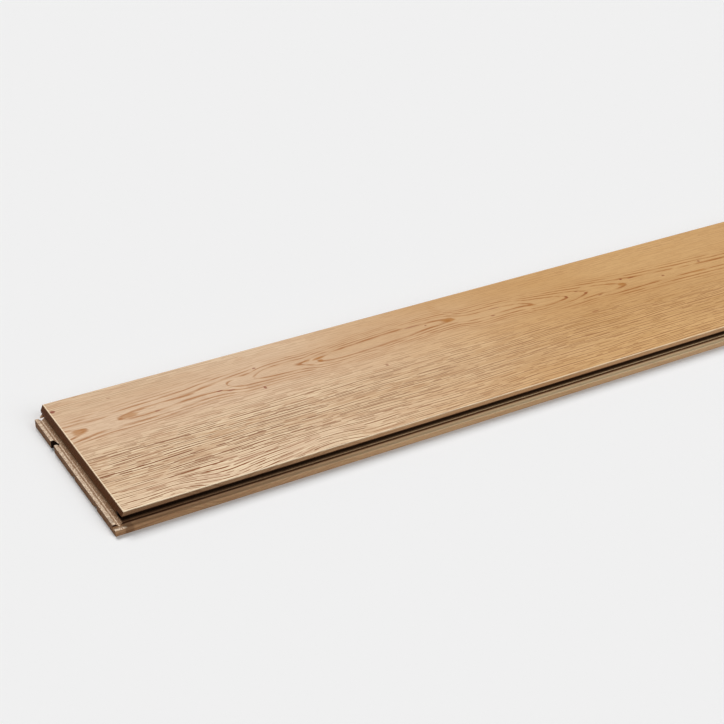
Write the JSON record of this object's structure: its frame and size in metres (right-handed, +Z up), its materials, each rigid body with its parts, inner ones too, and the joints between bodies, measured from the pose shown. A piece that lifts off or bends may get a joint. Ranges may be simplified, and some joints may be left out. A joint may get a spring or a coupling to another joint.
{
  "type": "solid parquet floorboard",
  "caption": "Solid oak floorboard lying flat, with a groove, tongue and locking lips milled along its sides and ends.",
  "frame": {"origin": "under the middle of the outer size, on the plane of the underside", "axes": "+X along the grain from the lipped end to the hooked end, +Y across the board from the groove side to the tongue side, +Z up out of the walking face"},
  "size_m": [1.21, 0.1934, 0.015],
  "materials": {
    "oak": "brushed solid oak, matt oiled walking face, bare milled edges and underside"
  },
  "bodies": {
    "root": {"floorboard": "oak"}
  },
  "joints": []
}
